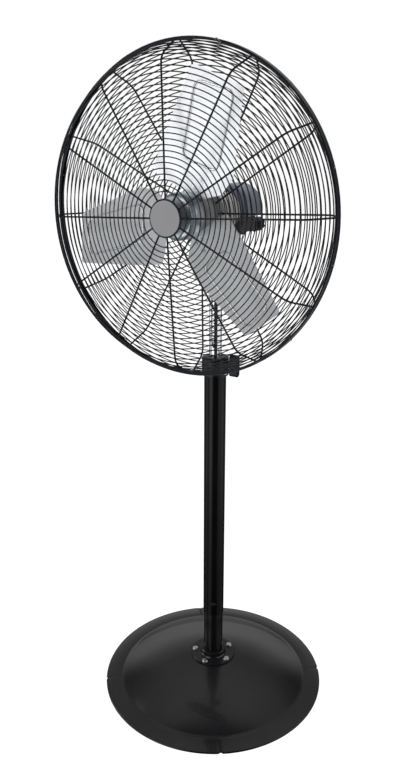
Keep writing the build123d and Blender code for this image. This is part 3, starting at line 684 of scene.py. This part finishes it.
def baseProfile():
    # from the hole over the dome, eased into the rim, and back along the inner side
    top = []
    lowest = domeHeight(base["domeRadius"])
    for i in range(base["domeSteps"] + 1):
        f = i / base["domeSteps"]
        radius = base["flatRadius"] + (base["domeRadius"] - base["flatRadius"]) * f
        top.append((radius, domeHeight(radius) + (base["rimHeight"] - lowest) * f))
    edge = [(base["domeRadius"] + base["rimStart"], base["rimHeight"])]
    edge += [(base["radius"] - inward, base["rimHeight"] - down)
             for inward, down in base["edgeRound"]]
    edge += [(base["radius"], base["footRound"]), (base["radius"] - base["footRound"], 0),
             (base["domeRadius"] - base["wall"], 0)]
    under = [(radius - base["underInset"], max(height - base["wall"], base["underLowest"]))
             for radius, height in reversed(top[:-1])]
    hole = [(base["hole"], base["domeTop"]), (base["hole"], base["domeTop"] - base["wall"])]
    return hole[:1] + top + edge + under + hole[1:]


def notchedRim(radius, angle):
    if radius < base["radius"] - base["notchReach"]:
        return radius
    for notch in base["notchAngles"]:
        off = (angle - math.radians(notch) + math.pi) % (2 * math.pi) - math.pi
        side = off * base["radius"]
        if abs(side) < base["notchRadius"]:
            return min(radius, base["radius"] - math.sqrt(base["notchRadius"] ** 2 - side ** 2))
    return radius


dome = lathe("baseDome", baseProfile(), base["segments"], "root", baseEnamel,
             notchedRim)
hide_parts("base_plate")
print("base dome made")


# the room as gloss sees it: brightness by the angle round the object, from the camera's side
room = {
    "toCamera": (0.517, -0.856, 0.0),
    "toLeft": (-0.856, -0.517, 0.0),
    "most": 5.2,
    # degrees from the camera's side (left is plus), brightness
    "sides": ((-180, 1.2), (-150, 1.2), (-138, 0.2), (-108, 0.2), (-98, 2.4), (-40, 2.4),
              (-30, 0.06), (22, 0.06), (31, 4.9), (53, 4.9), (64, 0.95), (76, 0.95), (86, 2.3),
              (98, 2.3), (108, 0.2), (138, 0.2), (150, 1.2)),
    "overhead": (1.3, 0.1),           # straight above: behind the object, on the camera's side
    "overheadSpan": (-0.04, 0.12),    # where the first turns into the second
}


def makeRoomGroup():
    group, put, out = newGroup(
        "roomSides", [("Way", "NodeSocketVector", (0, 0, 1))],
        [("Level", "NodeSocketFloat"), ("Overhead", "NodeSocketFloat")],
    )
    nodes, link = group.nodes, group.links.new
    dots = []
    for way in (room["toLeft"], room["toCamera"]):
        dot = nodes.new("ShaderNodeVectorMath")
        dot.operation = "DOT_PRODUCT"
        dot.inputs[1].default_value = way
        link(put.outputs["Way"], dot.inputs[0])
        dots.append(dot.outputs["Value"])
    angle = mathNode(nodes, link, "ARCTAN2", dots[0], dots[1])
    turn = mapNode(nodes, link, angle, (-math.pi, math.pi), (0.0, 1.0))
    stops = [(0.5 + side / 360, level / room["most"]) for side, level in room["sides"]]
    level = mathNode(nodes, link, "MULTIPLY", greyRamp(nodes, link, turn, stops), room["most"])
    above = mapNode(nodes, link, dots[1], room["overheadSpan"], room["overhead"])
    link(level, out.inputs["Level"])
    link(above, out.inputs["Overhead"])
    return group


roomGroup = makeRoomGroup()


# floor and background
floorLook = {
    "halfSize": 14.0,      # metres
    "below": 0.0006,       # metres under the object's foot
    "colour": (0.86, 0.86, 0.86),
    "rough": 0.7,
    "seen": 1.18,          # as the camera sees it
    "share": 0.86,         # how much of the seen floor is its own white, the rest keeps the shadow
    "fadeSpan": (0.7, 2.0),      # metres from the pole: where gloss sees it dim, and bright
    "fade": (0.12, 0.4),
}


def makeFloor():
    mesh = bpy.data.meshes.new("floor")
    size, low = floorLook["halfSize"], -floorLook["below"]
    corners = [(-size, -size, low), (size, -size, low), (size, size, low), (-size, size, low)]
    mesh.from_pydata(corners, [], [(0, 1, 2, 3)])
    floor = bpy.data.objects.new("floor", mesh)
    bpy.context.collection.objects.link(floor)
    material = bpy.data.materials.new("floorWhite")
    material.use_nodes = True
    nodes, link = material.node_tree.nodes, material.node_tree.links.new
    shader = nodes["Principled BSDF"]
    shader.inputs["Base Color"].default_value = (*floorLook["colour"], 1)
    shader.inputs["Roughness"].default_value = floorLook["rough"]
    shader.inputs["Specular IOR Level"].default_value = 0.0
    # the eye sees a white floor with a light shadow; gloss sees it brighten away from the object
    rays = nodes.new("ShaderNodeLightPath").outputs
    place = nodes.new("ShaderNodeTexCoord").outputs["Object"]
    far = nodes.new("ShaderNodeVectorMath")
    far.operation = "LENGTH"
    link(place, far.inputs[0])
    fade = mapNode(nodes, link, far.outputs["Value"], floorLook["fadeSpan"], floorLook["fade"])
    around = groupNode(nodes, roomGroup, {})
    link(place, around.inputs["Way"])
    mirrored = mathNode(nodes, link, "MULTIPLY", fade, around.outputs["Level"])
    glow = nodes.new("ShaderNodeEmission")
    glow.inputs["Color"].default_value = (1, 1, 1, 1)
    link(mixNode(nodes, link, "FLOAT", rays["Is Camera Ray"], mirrored, floorLook["seen"]),
         glow.inputs["Strength"])
    seen = mathNode(nodes, link, "MAXIMUM", rays["Is Camera Ray"], rays["Is Transmission Ray"])
    share = mathNode(nodes, link, "MULTIPLY", seen, floorLook["share"])
    mix = nodes.new("ShaderNodeMixShader")
    link(mathNode(nodes, link, "MAXIMUM", share, rays["Is Glossy Ray"]), mix.inputs[0])
    link(shader.outputs[0], mix.inputs[1])
    link(glow.outputs[0], mix.inputs[2])
    link(mix.outputs[0], nodes["Material Output"].inputs["Surface"])
    mesh.materials.append(material)


studio = {
    "fill": 0.55,                # the world as a light
    # the world as metal and gloss see it: sine of the height, brightness
    "reflected": ((0.0, 0.27), (0.28, 0.52), (0.62, 0.19), (0.92, 0.33)),
    "ceilingSpan": (0.5, 0.72),  # sine of the height where the sides turn into what is overhead
    "lamps": (
        # name, place, aim, width, height, power, seen in gloss
        ("keyLamp", (-1.6, -2.6, 3.9), (0, -0.1, 1.0), 1.8, 1.8, 105, False),
        ("sideLamp", (-3.1, -0.9, 1.5), (0, 0, 1.0), 0.5, 2.4, 11, True),
        ("topLamp", (-0.3, 0.9, 4.0), (0, 0, 0.6), 2.4, 2.4, 42, False),
    ),
}


def makeWorld():
    world = bpy.data.worlds.new("studioWorld")
    bpy.context.scene.world = world
    world.use_nodes = True
    nodes, link = world.node_tree.nodes, world.node_tree.links.new
    background = nodes["Background"]
    background.inputs["Color"].default_value = (1, 1, 1, 1)
    rays = nodes.new("ShaderNodeLightPath").outputs
    way = nodes.new("ShaderNodeTexCoord").outputs["Generated"]
    parts = nodes.new("ShaderNodeSeparateXYZ")
    link(way, parts.inputs[0])
    sides = groupNode(nodes, roomGroup, {})
    link(way, sides.inputs["Way"])
    ceiling = mapNode(nodes, link, parts.outputs["Z"], studio["ceilingSpan"], (0.0, 1.0))
    around = mixNode(nodes, link, "FLOAT", ceiling, sides.outputs["Level"],
                     sides.outputs["Overhead"])
    rise = greyRamp(nodes, link, parts.outputs["Z"], studio["reflected"])
    mirrored = mathNode(nodes, link, "MULTIPLY", rise, around)
    shiny = mathNode(nodes, link, "MAXIMUM", rays["Is Glossy Ray"], rays["Is Transmission Ray"])
    lit = mixNode(nodes, link, "FLOAT", shiny, studio["fill"], mirrored)
    seen = mixNode(nodes, link, "FLOAT", rays["Is Camera Ray"], lit, 1.0)
    link(seen, background.inputs["Strength"])


def makeLamps():
    for name, place, aim, width, height, power, mirrored in studio["lamps"]:
        data = bpy.data.lights.new(name, "AREA")
        data.shape = "RECTANGLE"
        data.size = width
        data.size_y = height
        data.energy = power
        lamp = bpy.data.objects.new(name, data)
        lamp.location = place
        lamp.visible_glossy = mirrored
        lamp.rotation_euler = (Vector(aim) - Vector(place)).to_track_quat("-Z", "Y").to_euler()
        bpy.context.collection.objects.link(lamp)


makeFloor()
makeWorld()
makeLamps()
bpy.context.scene.view_settings.view_transform = "Standard"
print("floor, world and lamps set")
